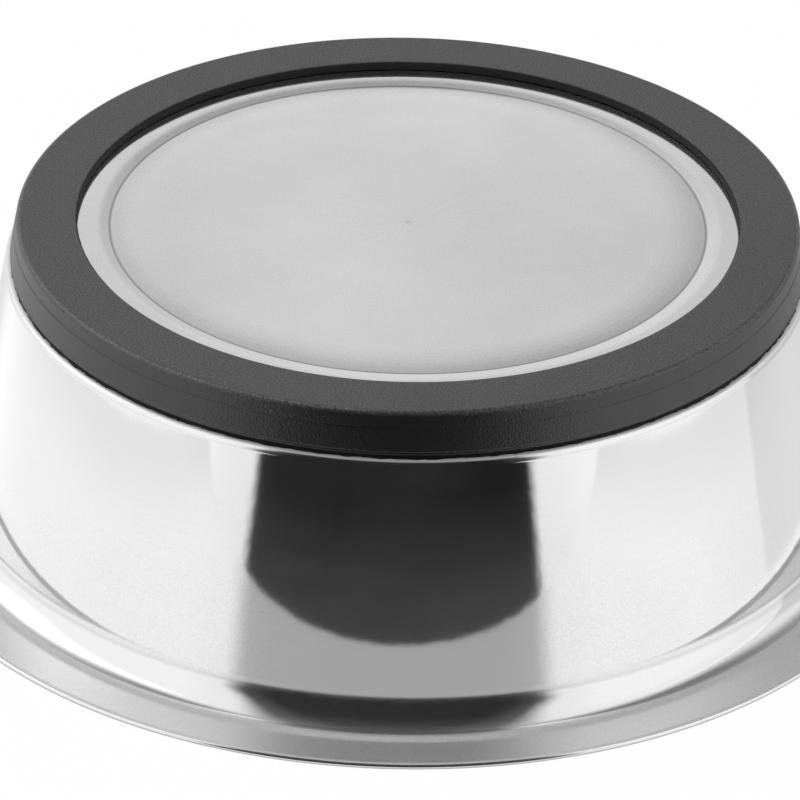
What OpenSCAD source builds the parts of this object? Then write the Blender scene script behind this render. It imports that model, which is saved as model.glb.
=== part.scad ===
// Pet bowl: one deep-drawn steel shell standing on a moulded rubber ring that is bonded round its foot.
// Millimetres. The foot face of the ring lies on z = 0, the bowl opens towards +Z and turns about the Z axis.

/* [Overall] */
// Radius of the foot face, out to the corner where the rubber skirt begins
foot_radius = 70; // [63:0.5:76]
// Radius of the rim, to the outside of its rolled edge
rim_radius = 94.6; // [89:0.1:106]
// Height from the foot face to the top of the rim
bowl_height = 56.6; // [45:0.1:75]

/* [Steel sheet] */
// Thickness of the steel sheet
sheet_thickness = 0.5; // [0.4:0.05:0.7]
// Radial width from the top of the straight wall, if it ran on, to the outside of the rim
margin_width = 13.85; // [11.5:0.05:17]
// Radius of the cove where the wall turns out into the flat margin, on its outside face
cove_radius = 6.4; // [4.5:0.1:8.5]
// Radius inside the fold of the rolled edge
hem_fold_radius = 0.2; // [0.1:0.05:0.4]
// Length of the flat leg that the rolled edge turns back under the margin
hem_return = 0.5; // [0.3:0.1:2.5]

/* [Steel base] */
// Width of the raised band between the bore of the rubber ring and the crease round the panel
band_width = 5.8; // [4.5:0.1:9]
// Height of the crease above the underside of the band
crease_depth = 0.4; // [0.2:0.05:0.7]
// Width of the sloping flank that leads from the band into the crease
crease_flank = 2.1; // [1.4:0.1:3]
// Radius at the bottom of the crease, on its outside face
crease_fillet = 0.35; // [0.2:0.05:0.6]
// How far the middle of the panel stands down below the crease
panel_crown = 0.4; // [0.2:0.05:0.8]
// Width of the panel's edge, which slopes up into the crease
panel_edge = 4.3; // [4:0.1:7]
// Length of the soft roll on each side of the panel's edge
panel_roll = 3.4; // [1.5:0.1:3.5]
// Length of the soft roll on each side of the band's inner edge
band_roll = 0.8; // [0.4:0.1:1]

/* [Steel foot and shoulder] */
// Radius of the shell's foot corner, inside the rubber ring
foot_corner_radius = 3.5; // [2:0.1:4]
// Height of the shell's flat ledge above the lip of the skirt
ledge_gap = 0.7; // [0.4:0.05:1.2]
// Radius where the shell turns out into its ledge
flare_fillet = 1.2; // [0.6:0.1:1.5]
// How far the shoulder stands out past the lip of the skirt
shoulder_overhang = 0.72; // [0.6:0.01:1.5]
// Radius of the shoulder, where the ledge turns up into the wall
shoulder_radius = 0.8; // [0.75:0.05:1.2]

/* [Rubber ring] */
// Width of the flat foot, from the ring's bore to the foot radius
foot_width = 10.8; // [8:0.1:14]
// Thickness of the rubber under the steel
foot_rubber = 1.5; // [1.1:0.05:2.5]
// Height of the skirt from the foot face to its lip
skirt_height = 7.8; // [6.8:0.1:10]
// Thickness of the skirt at its lip
skirt_thickness = 1.85; // [1.5:0.05:2.5]
// How far the lip stands out past the foot radius
skirt_flare = 1.35; // [0.8:0.05:1.8]
// Radius of the outer corner of the foot
foot_corner = 1; // [0.6:0.05:1.4]
// Radius of the foot's edge at the bore
bore_corner = 0.3; // [0.2:0.05:0.8]
// Radius of the lip
lip_radius = 0.35; // [0.2:0.05:0.5]
// Height of the mould's parting line on the skirt
parting_height = 2.9; // [2:0.1:4]
// Width of the step out at the parting line
parting_step = 0.04; // [0.02:0.01:0.1]

/* [Adhesive] */
// Thickness of the adhesive film between the rubber and the steel
bond_thickness = 0.15; // [0.1:0.01:0.25]
// Distance from the ring's bore to the inner edge of the film
bond_inset = 0.7; // [0.3:0.1:2]
// How far inside the lip's reach the squeezed-out bead leaves the rubber
bead_recess = 0.4; // [0.35:0.05:0.8]
// How far inside the lip's reach the bead ends on the steel ledge
bead_end = 0.25; // [0:0.05:0.3]

/* [Hidden] */
$fn = 144;
// Angle between the points of a rounded corner, in degrees
arc_step = 6;
// Fewest steps in a rounded corner, however little it turns
least_steps = 4;

// Levels of the steel's underside, and radii, from the axis outwards
seat_z = foot_rubber + bond_thickness;
crease_z = seat_z + crease_depth;
panel_z = crease_z - panel_crown;
bore_radius = foot_radius - foot_width;
crease_radius = bore_radius - band_width;
lip_reach = foot_radius + skirt_flare;
parting_reach = foot_radius + skirt_flare * parting_height / skirt_height;
shell_foot_radius = lip_reach - skirt_thickness - bond_thickness;
ledge_z = skirt_height + ledge_gap;
shoulder_reach = lip_reach + shoulder_overhang;
margin_z = bowl_height - sheet_thickness;
wall_top_radius = rim_radius - margin_width;
fold_radius = rim_radius - sheet_thickness;

// Fillet radii of the two soft rolls, from their lengths and the slopes beside them
panel_roll_radius = panel_roll / tan(atan(panel_crown / panel_edge) / 2);
band_roll_radius = band_roll / tan(atan(crease_depth / crease_flank) / 2);

// The shell's outside face from the axis to the end of the rolled edge, as corners [radius, height, fillet]
shell_corners = [
    [0, panel_z, 0],
    [crease_radius - panel_edge, panel_z, panel_roll_radius],
    [crease_radius, crease_z, crease_fillet],
    [crease_radius + crease_flank, seat_z, band_roll_radius],
    [shell_foot_radius, seat_z, foot_corner_radius],
    [shell_foot_radius, ledge_z, flare_fillet],
    [shoulder_reach, ledge_z, shoulder_radius],
    [wall_top_radius, margin_z, cove_radius],
    [fold_radius, margin_z, hem_fold_radius],
    [fold_radius, margin_z - 2 * hem_fold_radius, hem_fold_radius],
    [fold_radius - hem_fold_radius - hem_return, margin_z - 2 * hem_fold_radius, 0]
];
// The shoulder's place in that list
shoulder_corner = 6;
// The same face only as far as the wall, for what is fitted round the foot
foot_corners = [for (i = [0 : shoulder_corner]) shell_corners[i], [wall_top_radius, margin_z, 0]];

// The ring's outline before the space for the steel is taken out of it
ring_corners = [
    [bore_radius, 0, bore_corner],
    [foot_radius, 0, foot_corner],
    [parting_reach - parting_step / 2, parting_height, 0],
    [parting_reach + parting_step / 2, parting_height, 0],
    [lip_reach, skirt_height, lip_radius],
    [shell_foot_radius - foot_corner_radius, skirt_height, 0],
    [shell_foot_radius - foot_corner_radius, seat_z, 0],
    [bore_radius, seat_z, 0]
];

// The squeezed-out bead, which fills the corner between the lip and the ledge
bead_corners = [
    [shell_foot_radius, skirt_height - lip_radius],
    [lip_reach - bead_recess, skirt_height - lip_radius],
    [lip_reach - bead_recess, skirt_height],
    [lip_reach - bead_end, ledge_z],
    [shell_foot_radius, ledge_z]
];

function unit(v) = v / norm(v);
function left_of(v) = [-v.y, v.x];
function turn_by(v, a) = [v.x * cos(a) - v.y * sin(a), v.x * sin(a) + v.y * cos(a)];
function place(corner) = [corner[0], corner[1]];
function turn_angle(a, b) = atan2(a.x * b.y - a.y * b.x, a * b);

// Points of one corner of a path, moved to the left of the path by a distance
function corner_points(before, corner, after, left) =
    let (
        arriving = unit(place(corner) - place(before)),
        leaving = unit(place(after) - place(corner)),
        turn = turn_angle(arriving, leaving),
        way = sign(turn),
        steps = max(least_steps, ceil(abs(turn) / arc_step)),
        setback = corner[2] * tan(abs(turn) / 2),
        centre = place(corner) - setback * arriving + way * corner[2] * left_of(arriving)
    )
    corner[2] > 0
        ? [for (k = [0 : steps]) centre - (way * corner[2] - left) * turn_by(left_of(arriving), turn * k / steps)]
        : [place(corner) + left / cos(turn / 2) * turn_by(left_of(arriving), turn / 2)];

// An open path with rounded corners, moved to its left by a distance
function path_points(corners, left) =
    let (last = len(corners) - 1)
    concat(
        [place(corners[0]) + left * left_of(unit(place(corners[1]) - place(corners[0])))],
        [for (i = [1 : last - 1]) each corner_points(corners[i - 1], corners[i], corners[i + 1], left)],
        [place(corners[last]) + left * left_of(unit(place(corners[last]) - place(corners[last - 1])))]
    );

// A closed outline with rounded corners
function outline_points(corners) =
    let (n = len(corners))
    [for (i = [0 : n - 1]) each corner_points(corners[(i + n - 1) % n], corners[i], corners[(i + 1) % n], 0)];

function reversed(list) = [for (i = [len(list) - 1 : -1 : 0]) list[i]];

// Section of the steel sheet
module shell_section() {
    polygon(concat(
        path_points(shell_corners, 0),
        reversed(path_points(shell_corners, sheet_thickness))
    ));
}

// Everything on the steel's side of its outside face, grown outwards by a distance
module steel_side(grown) {
    polygon(concat(path_points(foot_corners, -grown), [[0, margin_z]]));
}

// Section of the rubber ring, fitted to the steel with room for the film
module ring_section() {
    difference() {
        polygon(outline_points(ring_corners));
        steel_side(bond_thickness);
    }
}

// Section of the adhesive: the film inside the ring and the bead squeezed out past its lip
module bond_section() {
    difference() {
        union() {
            intersection() {
                polygon(outline_points(ring_corners));
                translate([bore_radius + bond_inset, 0]) square([foot_width + skirt_flare, skirt_height]);
            }
            polygon(bead_corners);
        }
        ring_section();
        steel_side(0);
    }
}

// Deep-drawn steel shell with its rolled rim
module bowl_shell() {
    color("gainsboro") rotate_extrude() shell_section();
}

// Anti-slip ring of moulded rubber
module rubber_ring() {
    color("dimgray") rotate_extrude() ring_section();
}

// Black adhesive between the ring and the shell
module adhesive_bond() {
    color("black") rotate_extrude() bond_section();
}

bowl_shell();
rubber_ring();
adhesive_bond();
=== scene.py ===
# Steel pet bowl on a bonded rubber ring, seen from under its foot
import bmesh
import bpy
from math import atan, atan2, ceil, cos, degrees, inf, pi, radians, sin, tan
from mathutils import Matrix, Vector


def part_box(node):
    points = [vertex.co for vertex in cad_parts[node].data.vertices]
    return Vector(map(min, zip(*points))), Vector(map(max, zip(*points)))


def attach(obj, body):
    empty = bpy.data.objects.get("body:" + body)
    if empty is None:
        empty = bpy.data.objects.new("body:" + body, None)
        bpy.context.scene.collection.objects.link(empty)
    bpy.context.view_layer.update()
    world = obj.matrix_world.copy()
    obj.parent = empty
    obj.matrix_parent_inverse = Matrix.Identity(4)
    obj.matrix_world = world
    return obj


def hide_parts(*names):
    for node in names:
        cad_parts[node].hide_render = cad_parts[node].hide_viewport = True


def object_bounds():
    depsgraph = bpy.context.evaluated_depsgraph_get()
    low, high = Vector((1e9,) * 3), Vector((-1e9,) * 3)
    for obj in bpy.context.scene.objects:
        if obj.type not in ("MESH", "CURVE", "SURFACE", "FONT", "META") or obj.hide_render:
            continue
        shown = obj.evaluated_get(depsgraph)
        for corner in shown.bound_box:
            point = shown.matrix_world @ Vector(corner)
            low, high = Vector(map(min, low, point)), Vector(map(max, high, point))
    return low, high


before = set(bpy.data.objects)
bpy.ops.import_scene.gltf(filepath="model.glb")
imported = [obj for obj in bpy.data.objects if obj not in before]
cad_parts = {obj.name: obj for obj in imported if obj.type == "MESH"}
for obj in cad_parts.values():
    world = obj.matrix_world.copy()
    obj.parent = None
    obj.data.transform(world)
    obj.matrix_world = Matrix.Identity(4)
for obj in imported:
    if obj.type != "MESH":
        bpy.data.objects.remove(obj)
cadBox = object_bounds()
mm = 0.001
tiny = 1e-9


# A row of places in mm, counted from a start, as metres
def inMetres(places, start=0):
    return [(start + v) * mm for v in places]


# The camera of the photograph. The bowl lies on its rim there, so the camera is under the foot face.
view = {
    "back": 942.656,  # mm from the bowl's axis
    "below": 515.635,  # mm under the foot face
    "pitch": 0.53155,  # radians, tipped towards the foot
    "yaw": -0.00087,
    "roll": -0.01945,
    "focalPixels": 6000,
    "imagePixels": 800,
    "sensor": 36,  # mm
    "nearest": 0.05,  # m
    "farthest": 50,
}


def makeCamera():
    ahead = Vector((sin(view["yaw"]) * cos(view["pitch"]),
                    cos(view["yaw"]) * cos(view["pitch"]), -sin(view["pitch"])))
    right = Vector((cos(view["yaw"]), -sin(view["yaw"]), 0))
    down = ahead.cross(right)
    rolledRight = cos(view["roll"]) * right + sin(view["roll"]) * down
    rolledDown = cos(view["roll"]) * down - sin(view["roll"]) * right
    # The photograph's up is the bowl's down, so Y and Z change sign
    columns = [Vector((v.x, -v.y, -v.z)) for v in (rolledRight, -rolledDown, -ahead)]
    turn = Matrix(columns).transposed().to_4x4()
    data = bpy.data.cameras.new("camera")
    data.sensor_width = view["sensor"]
    data.lens = view["focalPixels"] / view["imagePixels"] * view["sensor"]
    data.clip_start = view["nearest"]
    data.clip_end = view["farthest"]
    camera = bpy.data.objects.new("camera", data)
    place = Vector((0, view["back"], -view["below"])) * mm
    camera.matrix_world = Matrix.Translation(place) @ turn
    bpy.context.scene.collection.objects.link(camera)
    bpy.context.scene.camera = camera


makeCamera()
print("camera set")


# Short ways to write shader and geometry trees
class Tree:
    def __init__(self, tree):
        self.tree = tree

    def node(self, name, **settings):
        made = self.tree.nodes.new(name)
        for key, value in settings.items():
            setattr(made, key, value)
        return made

    def join(self, source, socket):
        if isinstance(source, bpy.types.NodeSocket):
            self.tree.links.new(source, socket)
        else:
            socket.default_value = source

    def math(self, operation, *values):
        made = self.node("ShaderNodeMath", operation=operation)
        for value, socket in zip(values, made.inputs):
            self.join(value, socket)
        return made.outputs[0]

    def plus(self, first, second):
        return self.math("ADD", first, second)

    def minus(self, first, second):
        return self.math("SUBTRACT", first, second)

    def times(self, first, second):
        return self.math("MULTIPLY", first, second)

    # Distance in the plane, kept off zero because the steel's finish divides by it
    def reach(self, x, y):
        squares = self.plus(self.math("POWER", x, 2.0), self.math("POWER", y, 2.0))
        return self.math("SQRT", self.plus(squares, tiny))

    # A noise from 0 to 1, made to swing to both sides of zero
    def swing(self, noise, width):
        return self.times(self.minus(noise, 0.5), width)

    def ramp(self, value, low, high, toLow=0.0, toHigh=1.0):
        made = self.node("ShaderNodeMapRange", interpolation_type="SMOOTHSTEP")
        for item, socket in zip((value, low, high, toLow, toHigh), made.inputs):
            self.join(item, socket)
        return made.outputs[0]

    def fall(self, value, low, high):
        return self.ramp(value, low, high, 1.0, 0.0)

    # 1 between the middle two of four values, and 0 outside the others
    def band(self, value, start, full, fading, end):
        return self.times(self.ramp(value, start, full), self.fall(value, fading, end))

    def mix(self, share, first, second):
        made = self.node("ShaderNodeMix", data_type="FLOAT")
        for item, socket in zip((share, first, second), (made.inputs[0], made.inputs[2], made.inputs[3])):
            self.join(item, socket)
        return made.outputs[0]

    def split(self, vector):
        made = self.node("ShaderNodeSeparateXYZ")
        self.join(vector, made.inputs[0])
        return made.outputs

    def combine(self, x, y, z):
        made = self.node("ShaderNodeCombineXYZ")
        for item, socket in zip((x, y, z), made.inputs):
            self.join(item, socket)
        return made.outputs[0]

    def noise(self, vector, scale, detail, roughness, seed):
        made = self.node("ShaderNodeTexNoise", noise_dimensions="4D")
        self.join(vector, made.inputs["Vector"])
        self.join(seed, made.inputs["W"])
        self.join(scale, made.inputs["Scale"])
        self.join(detail, made.inputs["Detail"])
        self.join(roughness, made.inputs["Roughness"])
        return made.outputs[0]

    def grey(self, value):
        made = self.node("ShaderNodeCombineColor")
        for socket in made.inputs:
            self.join(value, socket)
        return made.outputs[0]

    def bump(self, height, depth, below=None):
        made = self.node("ShaderNodeBump")
        self.join(height, made.inputs["Height"])
        made.inputs["Distance"].default_value = depth * mm
        made.inputs["Strength"].default_value = 1.0
        if below is not None:
            self.join(below, made.inputs["Normal"])
        return made.outputs[0]


def newMaterial(name):
    material = bpy.data.materials.new(name)
    material.use_nodes = True
    material.node_tree.nodes.clear()
    tree = Tree(material.node_tree)
    return material, tree, tree.node("ShaderNodeOutputMaterial")


# A material of the tent, table or floor, which glows and isn't sampled as a lamp
def stageMaterial(name):
    material, tree, out = newMaterial(name)
    material.cycles.emission_sampling = "NONE"
    return material, tree, out


def objectPlace(tree):
    return tree.node("ShaderNodeTexCoord").outputs["Object"]


def link(name, mesh):
    made = bpy.data.objects.new(name, mesh)
    bpy.context.scene.collection.objects.link(made)
    return made


def seenBy(obj, camera, glossy, diffuse):
    obj.visible_camera = camera
    obj.visible_glossy = glossy
    obj.visible_diffuse = diffuse
    obj.visible_transmission = glossy
    obj.visible_volume_scatter = False
    obj.visible_shadow = False


# The light tent round the bowl, by directions from it, in degrees: "over" runs from straight ahead, over the
# top, to 180 at the back, and "aside" is the angle to the left or right of that plane
tent = {
    "radius": 9000,  # mm
    "meshSteps": (96, 48),
    "poleLift": 0.00001,  # keeps the angles steady at the poles
    "cloth": 0.98,  # brightness of the side walls and the roof
    "halfBlur": 0.02,  # where the half over the table top gives way to the half below it
    # The opening in front: half width low down, then a start and a slope that narrow it over the roof
    "openLeft": (40.2, 50.0, 0.36),
    "openRight": (36.2, 46.0, 0.33),
    "openBend": 6,
    "lowLeft": (29.3, 0.6),  # half width below the table top: a start and a slope
    "lowRight": (23.2, 0.76),
    "lowClosing": 0.9,  # slope by which the two halves meet at the horizon
    "openBlur": (-2.5, 4.5),
    "openBlurLow": (-0.8, 1.6),
    "openEnd": (108, 122),
    "openBack": (130, 140),
    "underTop": (38, 52),
    "dark": 0.014,
    "darkFar": 0.11,
    "darkRise": (50, 62),  # it gets lighter from an angle over, within a number of degrees
    "darkEdge": (1, 12, 0.07),  # and just inside the edge, between two depths
    "clothEdge": (-14, -2, 0.09),  # the cloth is darker beside the opening
    "farRise": (118, 158),  # the far wall gets lighter towards the horizon
    "farDark": 0.26,
    "farLight": 0.7,
    "farFrom": (100, 114),
    "farLeft": (-38, -16),
    "farRight": (24, 50),
    "farTilt": (-1, 9, 0.75),  # and darker to the right, from one angle aside to another
    "sideLamp": (0.7, 0.3),  # extra light from high behind, on the left and on the right
    "lampTurn": (96, 112, 145, 162),
    "lampRise": (20, 30, 50, 70),
    "lampMeet": 10,
    "dimHorizon": (12, 0.84),  # the cloth's lower edge is dimmer
    "wallTop": (50, 75),
    "cornerTurn": (104.5, 106),  # the right wall ends at a corner, past which it is dimmer
    "cornerShade": 0.74,
    "rightFade": (78, 104),
    "rightShade": 0.9,
    "world": 1.0,
}


def tentMaterial():
    material, tree, out = stageMaterial("tentCloth")
    way = tree.node("ShaderNodeVectorMath", operation="NORMALIZE")
    tree.join(objectPlace(tree), way.inputs[0])
    x, y, z = tree.split(way.outputs[0])
    lift = tree.math("ABSOLUTE", z)
    flat = tree.math("SQRT", tree.minus(1 + tent["poleLift"], tree.math("POWER", lift, 2.0)))
    turn = tree.math("DEGREES", tree.math("ARCTAN2", x, y))
    rise = tree.math("DEGREES", tree.math("ARCTAN2", lift, flat))
    over = tree.math("DEGREES", tree.math("ARCTAN2", lift, y))
    aside = tree.math("DEGREES", tree.math("ARCSINE", x))
    upper = tree.fall(z, -tent["halfBlur"], tent["halfBlur"])

    def halfWidth(high, low):
        narrowed = tree.minus(high[1], tree.times(over, high[2]))
        widened = tree.plus(low[0], tree.times(over, low[1]))
        closing = tree.minus(high[0], tree.times(over, tent["lowClosing"]))
        widened = tree.math("MAXIMUM", widened, closing)
        return tree.mix(upper, tree.math("MINIMUM", widened, high[0]),
                        tree.math("SMOOTH_MIN", high[0], narrowed, tent["openBend"]))

    # The opening and how dark it is
    blurIn = tree.mix(upper, tent["openBlurLow"][0], tent["openBlur"][0])
    blurOut = tree.mix(upper, tent["openBlurLow"][1], tent["openBlur"][1])
    inLeft = tree.plus(aside, halfWidth(tent["openLeft"], tent["lowLeft"]))
    inRight = tree.minus(halfWidth(tent["openRight"], tent["lowRight"]), aside)
    depth = tree.math("MINIMUM", inLeft, inRight)
    topIn = tree.mix(upper, tree.fall(rise, *tent["underTop"]), tree.fall(over, *tent["openEnd"]))
    ahead = tree.fall(over, *tent["openBack"])
    dark = tree.times(tree.times(tree.ramp(depth, blurIn, blurOut), topIn), ahead)
    start, length = tent["darkRise"]
    share = tree.math("MAXIMUM", tree.math("DIVIDE", tree.minus(over, start), length), 0.0)
    lighter = tree.times(tree.math("POWER", share, 2.0), tent["darkFar"] - tent["dark"])
    start, end, shade = tent["darkEdge"]
    edge = tree.times(tree.ramp(depth, start, end, shade, 0.0), upper)
    darkness = tree.plus(tree.plus(tent["dark"], lighter), edge)

    # The far wall
    far = tree.ramp(over, *tent["farRise"], tent["farDark"], tent["farLight"])
    start, end, shade = tent["farTilt"]
    far = tree.times(far, tree.ramp(aside, start, end, 1.0, shade))
    farIn = tree.times(tree.ramp(over, *tent["farFrom"]),
                       tree.band(aside, *tent["farLeft"], *tent["farRight"]))

    # The side walls and the roof
    wall = tree.fall(rise, *tent["wallTop"])
    right = tree.times(tree.ramp(turn, *tent["rightFade"], 1.0, tent["rightShade"]),
                       tree.ramp(turn, *tent["cornerTurn"], 1.0, tent["cornerShade"]))
    cloth = tree.times(tree.mix(wall, 1.0, right), tent["cloth"])
    start, end, shade = tent["clothEdge"]
    fade = tree.ramp(depth, start, end, 0.0, shade)
    cloth = tree.times(cloth, tree.minus(1.0, tree.times(fade, topIn)))
    lampWide = tree.band(tree.math("ABSOLUTE", turn), *tent["lampTurn"])
    lampHigh = tree.band(rise, *tent["lampRise"])
    lamp = tree.times(tree.times(lampWide, lampHigh), upper)
    lamp = tree.times(lamp, tree.ramp(turn, -tent["lampMeet"], tent["lampMeet"], *tent["sideLamp"]))
    cloth = tree.times(cloth, tree.plus(lamp, 1.0))
    height, shade = tent["dimHorizon"]
    cloth = tree.times(cloth, tree.ramp(rise, 0.0, height, shade, 1.0))

    light = tree.mix(dark, tree.mix(farIn, cloth, far), darkness)
    glow = tree.node("ShaderNodeEmission")
    tree.join(tree.grey(light), glow.inputs["Color"])
    tree.join(glow.outputs[0], out.inputs["Surface"])
    return material


table = {
    "edge": 147,  # mm from the axis to the front edge, which bows
    "edgeBow": 0.0011,
    "edgeBlur": 4,
    "front": 200,
    "back": 420,
    "side": 215,
    "white": 0.98,
    "gloss": 0.6,
    "glossFrom": (96, 102),  # nearer the rim it would only mirror its own shadow
    "roughness": 0.08,
    "sideFade": (120, 0.86),  # its top is dimmer towards the sides, from a distance off
    "corner": 15,  # its front corners are dimmer
    "cornerFade": (5, 50),
    "cornerShade": 0.95,
    "rimShadow": (94.3, 96.5),  # and so is a thin line round the rim: a painted shadow of the rim
    "rimShadowShade": 0.45,
    "underRim": (0.8, 0.3),  # mm that it reaches in under the rim, and up to it
    "segments": 720,
}


def tableMaterial():
    material, tree, out = stageMaterial("glossyTableTop")
    x, y, z = tree.split(objectPlace(tree))
    across = tree.math("ABSOLUTE", x)
    reach = tree.reach(x, y)
    side, blur = table["side"] * mm, table["edgeBlur"] * mm
    edge = tree.plus(table["edge"] * mm, tree.times(tree.math("POWER", x, 2.0), table["edgeBow"] / mm))
    past = tree.minus(y, edge)
    away = tree.reach(tree.minus(across, side - table["corner"] * mm), past)
    start, shade = table["sideFade"]
    sides = tree.ramp(across, start * mm, side, 1.0, shade)
    # A painted shadow darkens the table top round the rim
    rimShadow = tree.ramp(reach, *inMetres(table["rimShadow"]), table["rimShadowShade"], 1.0)
    corners = tree.ramp(away, *inMetres(table["cornerFade"]), table["cornerShade"], 1.0)
    shade = tree.times(tree.times(sides, rimShadow), corners)
    glow = tree.node("ShaderNodeEmission")
    tree.join(tree.grey(tree.times(shade, table["white"])), glow.inputs["Color"])
    gloss = tree.node("ShaderNodeBsdfGlossy")
    tree.join(tree.grey(shade), gloss.inputs["Color"])
    gloss.inputs["Roughness"].default_value = table["roughness"]
    blend = tree.node("ShaderNodeMixShader")
    tree.join(tree.ramp(reach, *inMetres(table["glossFrom"]), 0.0, table["gloss"]), blend.inputs[0])
    tree.join(glow.outputs[0], blend.inputs[1])
    tree.join(gloss.outputs[0], blend.inputs[2])
    # Past the front edge there is nothing
    cut = tree.node("ShaderNodeMixShader")
    tree.join(tree.ramp(past, -0.5 * blur, 0.5 * blur), cut.inputs[0])
    tree.join(blend.outputs[0], cut.inputs[1])
    tree.join(tree.node("ShaderNodeBsdfTransparent").outputs[0], cut.inputs[2])
    tree.join(cut.outputs[0], out.inputs["Surface"])
    return material


floor = {
    "size": 8000,  # mm, as the gap and the fade
    "gap": 0.1,
    "glow": 0.97,  # share of plain white near the bowl, where the rest takes its shadow
    "strength": 1.01,
    "fade": (250, 700),
    "color": 0.95,
}


def floorMaterial(name):
    material, tree, out = stageMaterial(name)
    white = tree.node("ShaderNodeEmission")
    white.inputs["Strength"].default_value = floor["strength"]
    cloth = tree.node("ShaderNodeBsdfDiffuse")
    cloth.inputs["Color"].default_value = (floor["color"], floor["color"], floor["color"], 1)
    x, y, z = tree.split(objectPlace(tree))
    blend = tree.node("ShaderNodeMixShader")
    tree.join(tree.ramp(tree.reach(x, y), *inMetres(floor["fade"]), floor["glow"], 1.0), blend.inputs[0])
    tree.join(cloth.outputs[0], blend.inputs[1])
    tree.join(white.outputs[0], blend.inputs[2])
    # From behind, the floor isn't there
    side = tree.node("ShaderNodeMixShader")
    tree.join(tree.node("ShaderNodeNewGeometry").outputs["Backfacing"], side.inputs[0])
    tree.join(blend.outputs[0], side.inputs[1])
    tree.join(tree.node("ShaderNodeBsdfTransparent").outputs[0], side.inputs[2])
    tree.join(side.outputs[0], out.inputs["Surface"])
    return material


def makeTent():
    bm = bmesh.new()
    around, up = tent["meshSteps"]
    bmesh.ops.create_uvsphere(bm, u_segments=around, v_segments=up, radius=tent["radius"] * mm)
    mesh = bpy.data.meshes.new("tent")
    bm.to_mesh(mesh)
    bm.free()
    mesh.materials.append(tentMaterial())
    made = link("tent", mesh)
    seenBy(made, False, True, True)
    return made


# The table top is a ring of faces from under the rim to a rectangle
def makeTable():
    hole = cadBox[1][0] - table["underRim"][0] * mm
    level = cadBox[1][2] - table["underRim"][1] * mm
    bm = bmesh.new()
    inside, outside = [], []
    for k in range(table["segments"]):
        angle = 2 * pi * k / table["segments"]
        dx, dy = sin(angle), cos(angle)
        end = table["front"] if dy > 0 else table["back"]
        reach = min(table["side"] / max(abs(dx), tiny), end / max(abs(dy), tiny)) * mm
        inside.append(bm.verts.new((hole * dx, hole * dy, level)))
        outside.append(bm.verts.new((reach * dx, reach * dy, level)))
    for k in range(table["segments"]):
        n = (k + 1) % table["segments"]
        bm.faces.new((inside[k], inside[n], outside[n], outside[k]))
    mesh = bpy.data.meshes.new("tableTop")
    bm.to_mesh(mesh)
    bm.free()
    mesh.materials.append(tableMaterial())
    made = link("tableTop", mesh)
    seenBy(made, False, True, False)
    return made


# Only the camera sees the floors: one under the foot, and one that the rim lies on in the photograph
def makeFloor(name, height, up):
    half = floor["size"] * mm / 2
    corners = [(-half, -half * up, height), (half, -half * up, height),
               (half, half * up, height), (-half, half * up, height)]
    mesh = bpy.data.meshes.new(name)
    mesh.from_pydata(corners, [], [(0, 1, 2, 3)])
    mesh.materials.append(floorMaterial(name))
    made = link(name, mesh)
    seenBy(made, True, False, False)
    return made


def makeWorld():
    bpy.context.scene.view_settings.view_transform = "Standard"
    world = bpy.data.worlds.new("white")
    bpy.context.scene.world = world
    world.use_nodes = True
    world.node_tree.nodes["Background"].inputs["Color"].default_value = (1, 1, 1, 1)
    world.node_tree.nodes["Background"].inputs["Strength"].default_value = tent["world"]


cloth, top = makeTent(), makeTable()
floors = [makeFloor("floor", cadBox[0][2] - floor["gap"] * mm, 1),
          makeFloor("floorUnderRim", cadBox[1][2] + floor["gap"] * mm, -1)]
makeWorld()
print("light tent, table and floors set")

fineness = {
    "arcStep": 4,  # degrees between the points of a rounded corner
    "arcLeast": 6,
    "shortest": 0.001,  # mm, as the next two
    "merge": 0.002,
    "wanderUp": 60,  # how fast a wander changes with height, against its change round the turn
    "wanderRoughness": 0.6,
}


def leftOf(v):
    return Vector((-v.y, v.x))


def turned(v, angle):
    return Vector((v.x * cos(angle) - v.y * sin(angle), v.x * sin(angle) + v.y * cos(angle)))


# A path of corners (radius, height, fillet) becomes points, moved to its left by a distance
def roundedPath(corners, left):
    places = [Vector(corner[:2]) for corner in corners]
    points = [places[0] + left * leftOf((places[1] - places[0]).normalized())]
    for before, here, after, corner in zip(places, places[1:], places[2:], corners[1:]):
        arriving, leaving = (here - before).normalized(), (after - here).normalized()
        turn = atan2(arriving.x * leaving.y - arriving.y * leaving.x, arriving.dot(leaving))
        normal, fillet = leftOf(arriving), corner[2]
        if fillet <= 0:
            points.append(here + left / cos(turn / 2) * turned(normal, turn / 2))
            continue
        way = 1 if turn > 0 else -1
        steps = max(fineness["arcLeast"], ceil(abs(degrees(turn)) / fineness["arcStep"]))
        centre = here - fillet * tan(abs(turn) / 2) * arriving + way * fillet * normal
        for n in range(steps + 1):
            points.append(centre - (way * fillet - left) * turned(normal, turn * n / steps))
    points.append(places[-1] + left * leftOf((places[-1] - places[-2]).normalized()))
    return points


# Long straights are cut up, with a short step beside each bend so that the shading turns there alone
def refined(points, longest, step):
    made = [points[0]]
    for a, b in zip(points, points[1:]):
        length = (b - a).length
        middle = length - 2 * step
        if length < fineness["shortest"]:
            continue
        stops = [length]
        if middle > 2 * step:
            count = ceil(middle / longest)
            stops = [step + middle * n / count for n in range(count + 1)] + [length]
        made += [a.lerp(b, stop / length) for stop in stops]
    return made


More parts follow.
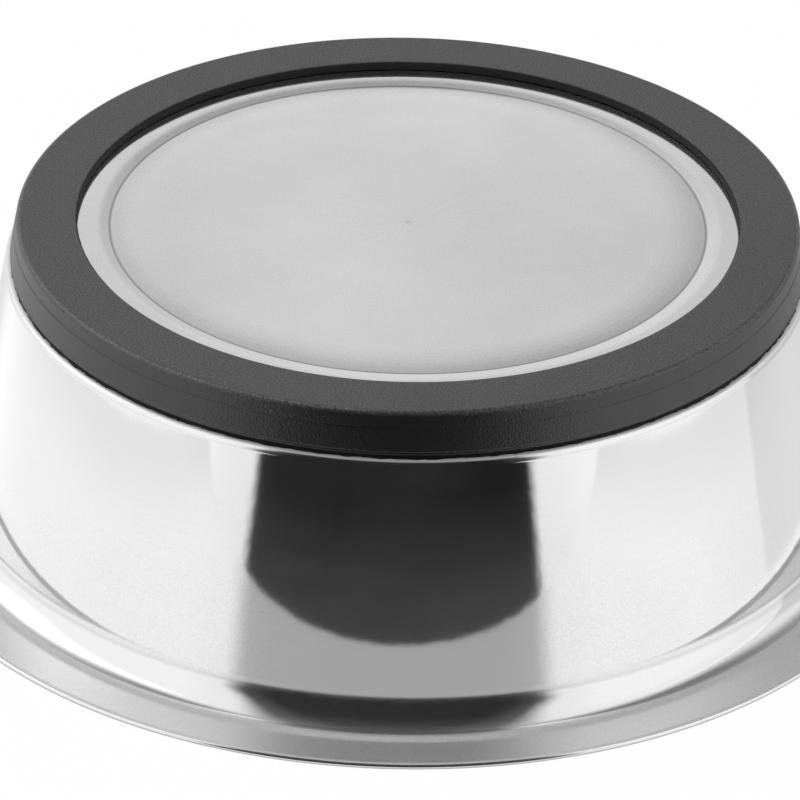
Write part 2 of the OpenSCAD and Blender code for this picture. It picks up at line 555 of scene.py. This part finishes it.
# One tree turns any section about the bowl's axis. A row of the section may wander in and out round the turn.
def revolveTree():
    group = bpy.data.node_groups.new("turnedSection", "GeometryNodeTree")
    group.is_modifier = True
    inputs = (("Section", "NodeSocketObject"), ("Segments", "NodeSocketInt"),
              ("Wander Scale", "NodeSocketFloat"), ("Wander Detail", "NodeSocketFloat"),
              ("Seed", "NodeSocketFloat"), ("Material", "NodeSocketMaterial"))
    group.interface.new_socket("Geometry", in_out="INPUT", socket_type="NodeSocketGeometry")
    for name, kind in inputs:
        group.interface.new_socket(name, in_out="INPUT", socket_type=kind)
    group.interface.new_socket("Geometry", in_out="OUTPUT", socket_type="NodeSocketGeometry")
    tree = Tree(group)
    given = tree.node("NodeGroupInput").outputs

    section = tree.node("GeometryNodeObjectInfo")
    tree.join(given["Section"], section.inputs["Object"])
    source = section.outputs["Geometry"]
    size = tree.node("GeometryNodeAttributeDomainSize")
    tree.join(source, size.inputs["Geometry"])
    rows = size.outputs["Point Count"]

    grid = tree.node("GeometryNodeMeshGrid")
    tree.join(1.0, grid.inputs["Size X"])
    tree.join(1.0, grid.inputs["Size Y"])
    tree.join(rows, grid.inputs["Vertices X"])
    tree.join(tree.plus(given["Segments"], 1.0), grid.inputs["Vertices Y"])
    across, around, _ = tree.split(tree.node("GeometryNodeInputPosition").outputs[0])
    row = tree.math("ROUND", tree.times(tree.plus(across, 0.5), tree.minus(rows, 1.0)))
    angle = tree.times(tree.plus(around, 0.5), 2 * pi)
    cosine, sine = tree.math("COSINE", angle), tree.math("SINE", angle)

    def sampled(value, kind):
        made = tree.node("GeometryNodeSampleIndex", data_type=kind, domain="POINT")
        tree.join(source, made.inputs["Geometry"])
        tree.join(value, made.inputs["Value"])
        tree.join(row, made.inputs["Index"])
        return made.outputs["Value"]

    def stored(name):
        made = tree.node("GeometryNodeInputNamedAttribute", data_type="FLOAT")
        made.inputs["Name"].default_value = name
        return sampled(made.outputs["Attribute"], "FLOAT")

    # One step of the geometry: a node's name, its settings and what joins its other inputs
    def chained(geometry, name, settings, **sockets):
        made = tree.node(name, **settings)
        tree.join(geometry, made.inputs["Geometry"])
        for socketName, value in sockets.items():
            tree.join(value, made.inputs[socketName])
        return made.outputs["Geometry"]

    reach, _, height = tree.split(sampled(tree.node("GeometryNodeInputPosition").outputs[0], "FLOAT_VECTOR"))
    where = tree.combine(cosine, sine, tree.times(height, fineness["wanderUp"]))
    noise = tree.noise(where, given["Wander Scale"], given["Wander Detail"], fineness["wanderRoughness"],
                       given["Seed"])
    bothWays = 2.0
    reach = tree.plus(reach, tree.times(stored("wander"), tree.swing(noise, bothWays)))
    place = tree.combine(tree.times(reach, cosine), tree.times(reach, sine), height)

    # The stored share says which face of the sheet a row is on
    geometry = chained(grid.outputs["Mesh"], "GeometryNodeStoreNamedAttribute",
                       {"data_type": "FLOAT", "domain": "POINT"}, Name="inside", Value=stored("inside"))
    geometry = chained(geometry, "GeometryNodeSetPosition", {}, Position=place)
    geometry = chained(geometry, "GeometryNodeMergeByDistance", {}, Distance=fineness["merge"] * mm)
    geometry = chained(geometry, "GeometryNodeSetShadeSmooth", {})
    geometry = chained(geometry, "GeometryNodeRealizeInstances", {})
    geometry = chained(geometry, "GeometryNodeSetMaterial", {}, Material=given["Material"])
    tree.join(geometry, tree.node("NodeGroupOutput").inputs["Geometry"])
    return group


turnedSection = revolveTree()


# Rows are (point, wander, inside share), in mm
def turnedPiece(name, rows, sizes, material):
    mesh = bpy.data.meshes.new(name + "Section")
    mesh.from_pydata([(point.x * mm, 0, point.y * mm) for point, wander, inside in rows], [], [])
    mesh.attributes.new("wander", "FLOAT", "POINT")
    mesh.attributes.new("inside", "FLOAT", "POINT")
    for k, (point, wander, inside) in enumerate(rows):
        mesh.attributes["wander"].data[k].value = wander * mm
        mesh.attributes["inside"].data[k].value = inside
    section = link(name + "Section", mesh)
    piece = link(name, bpy.data.meshes.new(name))
    modifier = piece.modifiers.new("turned", "NODES")
    modifier.node_group = turnedSection
    values = {"Section": section, "Segments": sizes["segments"], "Material": material}
    values.update(sizes.get("wander", {}))
    for item in turnedSection.interface.items_tree:
        if item.name in values:
            modifier[item.identifier] = values[item.name]
    bpy.context.view_layer.update()
    shape = bpy.data.meshes.new_from_object(piece.evaluated_get(bpy.context.evaluated_depsgraph_get()))
    piece.modifiers.clear()
    piece.data = shape
    shape.name = name
    bpy.data.objects.remove(section)
    bm = bmesh.new()
    bm.from_mesh(shape)
    bmesh.ops.recalc_face_normals(bm, faces=bm.faces)
    print(name, "faces", len(bm.faces), "open edges", sum(1 for e in bm.edges if not e.is_manifold),
          "volume mm3", round(bm.calc_volume(signed=True) / mm ** 3))
    bm.to_mesh(shape)
    bm.free()
    shape.set_sharp_from_angle(angle=radians(sizes["sharp"]))
    return piece


def steadyRows(points, wander=0.0, inside=0.0):
    return [(point, wander, inside) for point in points]


# Sizes in mm. The rim's radius and height come from the frame, a little inside the solid's.
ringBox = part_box("rubber_ring")
shell = {
    "rimRadius": min(cadBox[1][0], cadBox[1][1], -cadBox[0][0], -cadBox[0][1]) / mm - 0.2,
    "bowlHeight": cadBox[1][2] / mm - 0.3,
    "sheet": 0.4,
    "marginWidth": 13.65,
    "coveRadius": 6.4,
    "foldRadius": 0.1,
    "hemReturn": 0.3,
    "hemSlope": 0.9,  # length of the slope from the rolled edge down to the margin
    "hemFillets": (0.5, 0.3),
    "hemInside": 1,  # how far inside the fold both faces of the sheet end
    "bandWidth": 5.8,
    "creaseDepth": 0.4,
    "creaseFlank": 2.1,
    "creaseFillet": 0.35,
    "panelCrown": 0.4,
    "panelEdge": 4.3,
    "panelRoll": 3.4,
    "bandRoll": 0.8,
    "footCorner": 3.5,
    "ledgeGap": 0.7,
    "flareFillet": 1.2,
    "overhang": 0.72,
    "shoulderRadius": 1.35,
    "segments": 256,
    "longest": 4,
    "step": 0.12,
    "sharp": 35,  # degrees
}
ring = {
    "footRadius": 70,
    "footWidth": 10.8,
    "rubberUnder": 1.5,
    "skirtHeight": ringBox[1][2] / mm,
    "skirtThickness": 1.85,
    "skirtFlare": 1.35,
    "footCorner": 1,
    "boreCorner": 0.5,
    "boreJoin": 2,
    "lipRadius": 0.35,
    "lipJoin": 1,
    "partingHeight": 2.9,
    "partingStep": 0.04,
    "ridgeHeight": 7,
    "ridge": ((-0.12, 0, 0.1), (0, 0.06, 0.06), (0.14, -0.04, 0.08)),  # up, out and fillet
    "boreWander": 0.2,  # how far the bore wanders in and out
    "lipWander": 0.05,
    "segments": 384,
    "longest": 1.5,
    "step": 0.08,
    "sharp": 30,
    "wander": {"Wander Scale": 2.5, "Wander Detail": 5.0, "Seed": 3.0},
}
bead = {
    "film": 0.15,
    "inset": 0.7,
    "recess": 0.4,
    "end": 0.25,
    "ragged": 0.75,  # how far its edge wanders
    # The bead's face: shares across and up, mm out and up from there, and share of the raggedness
    "face": ((0, 0, 0, -0.05, 0), (0, 0.2, 0.02, 0, 0.3), (0.4, 0.55, 0, 0, 0.6),
             (1, 1, -0.05, -0.08, 1), (1, 1, 0, 0.02, 1)),
    "segments": 720,
    "sharp": 60,
    "wander": {"Wander Scale": 34.0, "Wander Detail": 6.0, "Seed": 7.0},
}

# Heights and radii in mm that several pieces share
seat = ring["rubberUnder"] + bead["film"]
crease = seat + shell["creaseDepth"]
panel = crease - shell["panelCrown"]
boreRadius = ring["footRadius"] - ring["footWidth"]
creaseRadius = boreRadius - shell["bandWidth"]
lipReach = ring["footRadius"] + ring["skirtFlare"]
shellFoot = lipReach - ring["skirtThickness"] - bead["film"]
ledgeHeight = ring["skirtHeight"] + shell["ledgeGap"]
shoulder = Vector((lipReach + shell["overhang"], ledgeHeight))
margin = shell["bowlHeight"] - shell["sheet"]
wallTop = Vector((shell["rimRadius"] - shell["marginWidth"], margin))
fold = shell["rimRadius"] - shell["sheet"]


def rollRadius(length, rise, run):
    return length / tan(atan(rise / run) / 2)


# The steel's outside face from the axis to its shoulder
footPath = [
    (0, panel, 0),
    (creaseRadius - shell["panelEdge"], panel,
     rollRadius(shell["panelRoll"], shell["panelCrown"], shell["panelEdge"])),
    (creaseRadius, crease, shell["creaseFillet"]),
    (creaseRadius + shell["creaseFlank"], seat,
     rollRadius(shell["bandRoll"], shell["creaseDepth"], shell["creaseFlank"])),
    (shellFoot, seat, shell["footCorner"]),
    (shellFoot, ledgeHeight, shell["flareFillet"]),
    (shoulder.x, shoulder.y, shell["shoulderRadius"]),
]


# The sheet, with its edge rolled under and pressed shut
def makeShell(material):
    hemFace = margin - 2 * shell["foldRadius"] - shell["sheet"]
    hemStart = fold - shell["foldRadius"] - shell["hemReturn"]
    rollRound = (shell["bowlHeight"] - hemFace) / 2
    wallPath = footPath + [(wallTop.x, wallTop.y, shell["coveRadius"])]
    outsidePath = wallPath + [
        (hemStart - shell["hemSlope"], margin, shell["hemFillets"][0]),
        (hemStart, hemFace, shell["hemFillets"][1]),
        (shell["rimRadius"], hemFace, rollRound),
        (shell["rimRadius"], shell["bowlHeight"], rollRound),
        (fold - shell["hemInside"], shell["bowlHeight"], 0),
    ]
    insidePath = wallPath + [(fold - shell["hemInside"], margin, 0)]
    outside = refined(roundedPath(outsidePath, 0), shell["longest"], shell["step"])
    inside = refined(roundedPath(insidePath, shell["sheet"]), shell["longest"], shell["step"])
    rows = steadyRows(outside) + steadyRows(reversed(inside[:-1]), inside=1.0)
    rows[0][0].x = 0
    rows[-1][0].x = 0
    print("shell rows", len(rows))
    return turnedPiece("steelShell", rows, shell, material)


# The steel's face grown outwards by a gap, from one radius to a height on the flare or a radius on the ledge
def steelFace(gap, fromRadius, toHeight=inf, toRadius=inf):
    path = roundedPath(footPath + [(wallTop.x, wallTop.y, 0)], -gap)
    made = []
    for a, b in zip(path, path[1:]):
        if b.x < fromRadius:
            continue
        if a.x < fromRadius:
            made.append(a.lerp(b, (fromRadius - a.x) / (b.x - a.x)))
        if b.y > toHeight:
            made.append(a.lerp(b, (toHeight - a.y) / (b.y - a.y)))
            break
        if b.x > toRadius:
            made.append(a.lerp(b, (toRadius - a.x) / (b.x - a.x)))
            break
        made.append(b)
    return made


def makeRing(material):
    foot, half = ring["footRadius"], ring["partingStep"] / 2
    slope = ring["skirtFlare"] / ring["skirtHeight"]
    line = foot + slope * ring["partingHeight"]
    ridge = foot + slope * ring["ridgeHeight"]
    outline = [
        (boreRadius + ring["boreJoin"], 0, 0),
        (foot, 0, ring["footCorner"]),
        (line - half, ring["partingHeight"], 0),
        (line + half, ring["partingHeight"], 0),
    ]
    outline += [(ridge + out, ring["ridgeHeight"] + up, fillet) for up, out, fillet in ring["ridge"]]
    outline += [
        (lipReach, ring["skirtHeight"], ring["lipRadius"]),
        (shellFoot + ring["lipJoin"], ring["skirtHeight"], 0),
    ]
    outer = refined(roundedPath(outline, 0), ring["longest"], ring["step"])
    inner = steelFace(bead["film"], boreRadius, ring["skirtHeight"])
    bore = roundedPath([(boreRadius, ring["rubberUnder"], 0), (boreRadius, 0, ring["boreCorner"]),
                        (boreRadius + ring["boreJoin"], 0, 0)], 0)
    rows = steadyRows(bore[:-1], ring["boreWander"])
    for point in outer:
        rows.append((point, ring["lipWander"] if point.y > ring["partingHeight"] else 0.0, 0.0))
    rows += steadyRows(reversed(inner[1:]))
    rows.append(rows[0])
    return turnedPiece("rubberRing", rows, ring, material)


def makeBead(material):
    lip, ragged = ring["skirtHeight"], bead["ragged"]
    low, end = lipReach - bead["recess"], lipReach - bead["end"]
    rows = steadyRows(steelFace(bead["film"], boreRadius + bead["inset"], lip))
    for across, up, out, more, share in bead["face"]:
        point = Vector((low + across * (end - low) + out, lip + up * (ledgeHeight - lip) + more))
        rows.append((point, share * ragged, 0.0))
    rows += steadyRows(reversed(steelFace(0, boreRadius + bead["inset"], toRadius=end - ragged)))
    rows.append(rows[0])
    return turnedPiece("adhesiveBead", rows, bead, material)


# Steel: a polished wall, and a satin base and margin. Haze is the share of dull light.
steel = {
    "color": 0.92,
    "wallRoughness": 0.055,
    "baseRoughness": 0.12,
    "bendRoughness": 0.1,  # added in the bend at the foot of the wall
    "ledgeRoughness": 0.25,
    "edgeRoughness": 0.5,  # the turn from the cove to the margin
    "marginRoughness": 0.4,
    "rimRoughness": 0.07,
    "insideRoughness": 0.2,
    "cloudRoughness": (0.03, 0.1),  # uneven by this much, on the wall and on the margin
    "lineRoughness": 0.03,
    "haze": (0.014, 0.12),  # on the wall, at the shoulder and low down
    "hazeRise": (10, 42),
    "hazeBase": 0.02,
    "hazeLedge": 0.75,
    "hazeCove": 0.35,  # what is left of it in the cove
    "hazeEdge": 0.75,
    "hazeMargin": 0.28,
    "hazeRim": 0.1,
    "hazeStrip": 0.95,
    "hazeLines": 0.08,
    "hazeClouds": 0.12,
    "hazeGrain": (3.5, 0.5),  # on the wall, as a share, and on the margin
    "brushDepth": 0.0003,
    "waveDepth": 0.025,
    "patches": (0.1, 0.42),  # how far wall and base go lighter and darker in soft patches
    "grainColor": (0.03, 0.25),  # and in fine grain
    "creaseShade": (0.6, 0.88),  # painted shade in the crease, and beside it
    "creaseShadeLine": (0.12, 0.34),
    "creaseShadeIn": (0, 0.3),
    "creaseShadeOut": (-4.5, 0),
    # Where a finish starts or ends, in mm of height or reach
    "baseEnd": (3.2, 4.5),
    "ledgeStart": (6, 6.5),
    "ledgeEnd": (0.16, 0.34),  # from the ledge
    "topStart": (-0.36, -0.04),  # from the margin, as the next
    "coveStart": (-5, -3.5),
    "bend": (4.8, 0.2, 1.1),  # below the margin, and its half width
    "flatStart": (5, 6.2),  # from the top of the wall
    "rimStart": (-0.5, -0.42),  # from the fold, as the next
    "strip": (-1.4, -1.2, 0.02, 0.1),
    # Noises as scale, detail, roughness and seed, and two drawn out round the bowl, with two scales
    "cloudNoise": (38, 3, 0.55, 1),
    "fineNoise": (3000, 1, 0.6, 2),
    "patchNoise": (16, 4, 0.55, 5),
    "lineNoise": (2.5, 3000, 2, 0.6, 3),
    "waveNoise": (9, 60, 3, 0.5, 4),
}


def steelMaterial():
    material, tree, out = newMaterial("drawnSteel")
    place = objectPlace(tree)
    x, y, z = tree.split(place)
    reach = tree.reach(x, y)
    cosine, sine = tree.math("DIVIDE", x, reach), tree.math("DIVIDE", y, reach)
    along = tree.plus(reach, z)

    def drawnOut(around, up, detail, roughness, seed):
        where = tree.combine(tree.times(cosine, around), tree.times(sine, around), tree.times(along, up))
        return tree.noise(where, 1.0, detail, roughness, seed)

    clouds = tree.noise(place, *steel["cloudNoise"])
    fine = tree.noise(place, *steel["fineNoise"])
    patches = tree.noise(place, *steel["patchNoise"])
    lines = drawnOut(*steel["lineNoise"])
    waves = drawnOut(*steel["waveNoise"])

    base = tree.fall(z, *inMetres(steel["baseEnd"]))
    ledge = tree.band(z, *inMetres(steel["ledgeStart"]), *inMetres(steel["ledgeEnd"], shoulder.y))
    top = tree.ramp(z, *inMetres(steel["topStart"], margin))
    flat = tree.ramp(reach, *inMetres(steel["flatStart"], wallTop.x))
    rim = tree.ramp(reach, *inMetres(steel["rimStart"], fold))
    # A burnished strip where the margin meets the roll
    strip = tree.band(reach, *inMetres(steel["strip"], fold))
    inside = tree.node("ShaderNodeAttribute", attribute_name="inside").outputs["Fac"]

    rough = tree.mix(base, steel["wallRoughness"], steel["baseRoughness"])
    rough = tree.mix(ledge, rough, steel["ledgeRoughness"])
    rough = tree.mix(top, rough, tree.mix(flat, steel["edgeRoughness"], steel["marginRoughness"]))
    rough = tree.mix(rim, rough, steel["rimRoughness"])
    rough = tree.mix(inside, rough, tree.math("MAXIMUM", rough, steel["insideRoughness"]))
    rough = tree.plus(rough, tree.swing(clouds, tree.mix(top, *steel["cloudRoughness"])))
    rough = tree.plus(rough, tree.swing(lines, steel["lineRoughness"]))
    below, middle, end = steel["bend"]
    fromBend = tree.math("ABSOLUTE", tree.minus(z, (margin - below) * mm))
    rough = tree.plus(rough, tree.ramp(fromBend, middle * mm, end * mm, steel["bendRoughness"], 0.0))

    haze = tree.ramp(z, *inMetres(steel["hazeRise"]), *steel["haze"])
    haze = tree.plus(haze, tree.swing(lines, steel["hazeLines"]))
    haze = tree.plus(haze, tree.swing(clouds, steel["hazeClouds"]))
    wallGrain, marginGrain = steel["hazeGrain"]
    haze = tree.times(haze, tree.math("MAXIMUM", tree.plus(tree.swing(fine, wallGrain), 1.0), 0.0))
    haze = tree.times(haze, tree.ramp(z, *inMetres(steel["coveStart"], margin), 1.0, steel["hazeCove"]))
    dull = tree.plus(tree.mix(flat, steel["hazeEdge"], steel["hazeMargin"]), tree.swing(fine, marginGrain))
    haze = tree.mix(top, haze, dull)
    haze = tree.mix(rim, haze, steel["hazeRim"])
    haze = tree.mix(strip, haze, steel["hazeStrip"])
    haze = tree.mix(ledge, haze, steel["hazeLedge"])
    haze = tree.mix(base, haze, steel["hazeBase"])

    shade = tree.plus(steel["color"], tree.swing(patches, tree.mix(base, *steel["patches"])))
    grained = tree.math("MAXIMUM", base, top)
    shade = tree.plus(shade, tree.swing(fine, tree.mix(grained, *steel["grainColor"])))
    # Painted highlight: the ledge is coloured pure white, so its dull finish shows as a bright band
    shade = tree.mix(ledge, shade, 1.0)
    # Painted shade darkens the crease, and thins out over the panel's edge
    inCrease, besideCrease = steel["creaseShade"]
    fromCrease = tree.minus(reach, creaseRadius * mm)
    line = tree.ramp(tree.math("ABSOLUTE", fromCrease), *inMetres(steel["creaseShadeLine"]), inCrease, 1.0)
    beside = tree.mix(tree.ramp(fromCrease, *inMetres(steel["creaseShadeIn"])),
                      tree.ramp(fromCrease, *inMetres(steel["creaseShadeOut"]), 1.0, besideCrease), 1.0)
    shade = tree.times(shade, tree.mix(base, 1.0, tree.times(line, beside)))

    surface = tree.node("ShaderNodeBsdfPrincipled")
    tree.join(tree.grey(shade), surface.inputs["Base Color"])
    tree.join(tree.minus(1.0, tree.math("MAXIMUM", haze, 0.0)), surface.inputs["Metallic"])
    tree.join(rough, surface.inputs["Roughness"])
    wavy = tree.bump(waves, steel["waveDepth"])
    tree.join(tree.bump(lines, steel["brushDepth"], wavy), surface.inputs["Normal"])
    tree.join(surface.outputs[0], out.inputs["Surface"])
    return material


rubber = {
    "color": 0.004,
    "faceScuffAndLight": 0.058,  # scuffed where it stands, and painted lighter where it takes the light
    "wornColor": 0.13,  # the foot's outer corner, in places
    # painted highlight along the ridge above the lip
    "ridgeHighlightColor": 0.09,
    # painted shade on the bore's inner wall
    "boreShade": 0.002,
    "speckColor": 0.3,
    "roughness": 0.36,
    "boreRoughness": 0.9,  # the bore was never polished by wear
    "patchRoughness": 0.12,
    "ior": 1.6,
    "specular": 0.75,
    "grainDepth": 0.1,
    "uneven": (0.8, 6),  # how far soft patches and grain go lighter and darker
    "darkest": 0.1,
    # Where a finish starts or ends, in mm of height or reach
    "faceEnd": (0.15, 0.9),
    "faceStart": (0.12, 0.4),  # from the bore, as the next
    "boreEnd": (0.15, 0.35),
    "corner": (0.01, 0.06, 0.1, 0.25),
    "ridgeHighlightBand": (-0.07, -0.03, 0.03, 0.08),
    # Noises as scale, detail, roughness and seed, and the values from which two of them show
    "grainNoise": (2600, 3, 0.6, 1),
    "patchNoise": (60, 3, 0.6, 2),
    "dustNoise": (1300, 1, 0.5, 3),
    "dust": (0.79, 0.83),
    "wornNoise": (14, 4, 0.6, 5),
    "worn": (0.46, 0.6),
}


def rubberMaterial():
    material, tree, out = newMaterial("ringRubber")
    place = objectPlace(tree)
    x, y, z = tree.split(place)
    reach = tree.reach(x, y)
    grain = tree.noise(place, *rubber["grainNoise"])
    patches = tree.noise(place, *rubber["patchNoise"])
    speck = tree.ramp(tree.noise(place, *rubber["dustNoise"]), *rubber["dust"])
    worn = tree.ramp(tree.noise(place, *rubber["wornNoise"]), *rubber["worn"])
    face = tree.times(tree.fall(z, *inMetres(rubber["faceEnd"])),
                      tree.ramp(reach, *inMetres(rubber["faceStart"], boreRadius)))
    corner = tree.band(z, *inMetres(rubber["corner"]))
    ridge = tree.band(z, *inMetres(rubber["ridgeHighlightBand"], ring["ridgeHeight"]))
    bore = tree.fall(reach, *inMetres(rubber["boreEnd"], boreRadius))

    # The standing face is scuffed, and painted lighter where it takes the light
    shade = tree.mix(face, rubber["color"], rubber["faceScuffAndLight"])
    shade = tree.mix(tree.times(corner, worn), shade, rubber["wornColor"])
    # A painted highlight: the ridge above the lip is coloured lighter
    shade = tree.mix(ridge, shade, rubber["ridgeHighlightColor"])
    ofPatches, ofGrain = rubber["uneven"]
    uneven = tree.plus(tree.swing(patches, ofPatches), tree.swing(grain, ofGrain))
    shade = tree.times(shade, tree.math("MAXIMUM", tree.plus(1.0, uneven), rubber["darkest"]))
    shade = tree.mix(speck, shade, rubber["speckColor"])
    # Painted shade: the bore's inner wall is coloured darker
    shade = tree.mix(bore, shade, rubber["boreShade"])
    rough = tree.plus(rubber["roughness"], tree.swing(patches, rubber["patchRoughness"]))
    rough = tree.mix(bore, rough, rubber["boreRoughness"])

    surface = tree.node("ShaderNodeBsdfPrincipled")
    tree.join(tree.grey(shade), surface.inputs["Base Color"])
    tree.join(rough, surface.inputs["Roughness"])
    surface.inputs["IOR"].default_value = rubber["ior"]
    surface.inputs["Specular IOR Level"].default_value = rubber["specular"]
    tree.join(tree.bump(grain, rubber["grainDepth"]), surface.inputs["Normal"])
    tree.join(surface.outputs[0], out.inputs["Surface"])
    return material


adhesive = {
    "color": 0.006,
    "roughness": (0.45, 0.3),  # at the least, and what the lumps add
    "specular": 0.3,
    "lumpDepth": 0.08,
    "lumpNoise": (1200, 3, 0.6, 1),
}


def adhesiveMaterial():
    material, tree, out = newMaterial("blackAdhesive")
    lump = tree.noise(objectPlace(tree), *adhesive["lumpNoise"])
    least, added = adhesive["roughness"]
    surface = tree.node("ShaderNodeBsdfPrincipled")
    tree.join(tree.grey(tree.times(lump, adhesive["color"])), surface.inputs["Base Color"])
    tree.join(tree.plus(tree.times(lump, added), least), surface.inputs["Roughness"])
    surface.inputs["Specular IOR Level"].default_value = adhesive["specular"]
    tree.join(tree.bump(lump, adhesive["lumpDepth"]), surface.inputs["Normal"])
    tree.join(surface.outputs[0], out.inputs["Surface"])
    return material


for piece, slotName, node in ((makeShell(steelMaterial()), "steel", "bowl_shell"),
                              (makeRing(rubberMaterial()), "rubber", "rubber_ring"),
                              (makeBead(adhesiveMaterial()), "adhesive", "adhesive_bond")):
    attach(piece, "root")
    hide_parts(node)
print("steel shell, rubber ring and adhesive bead made")
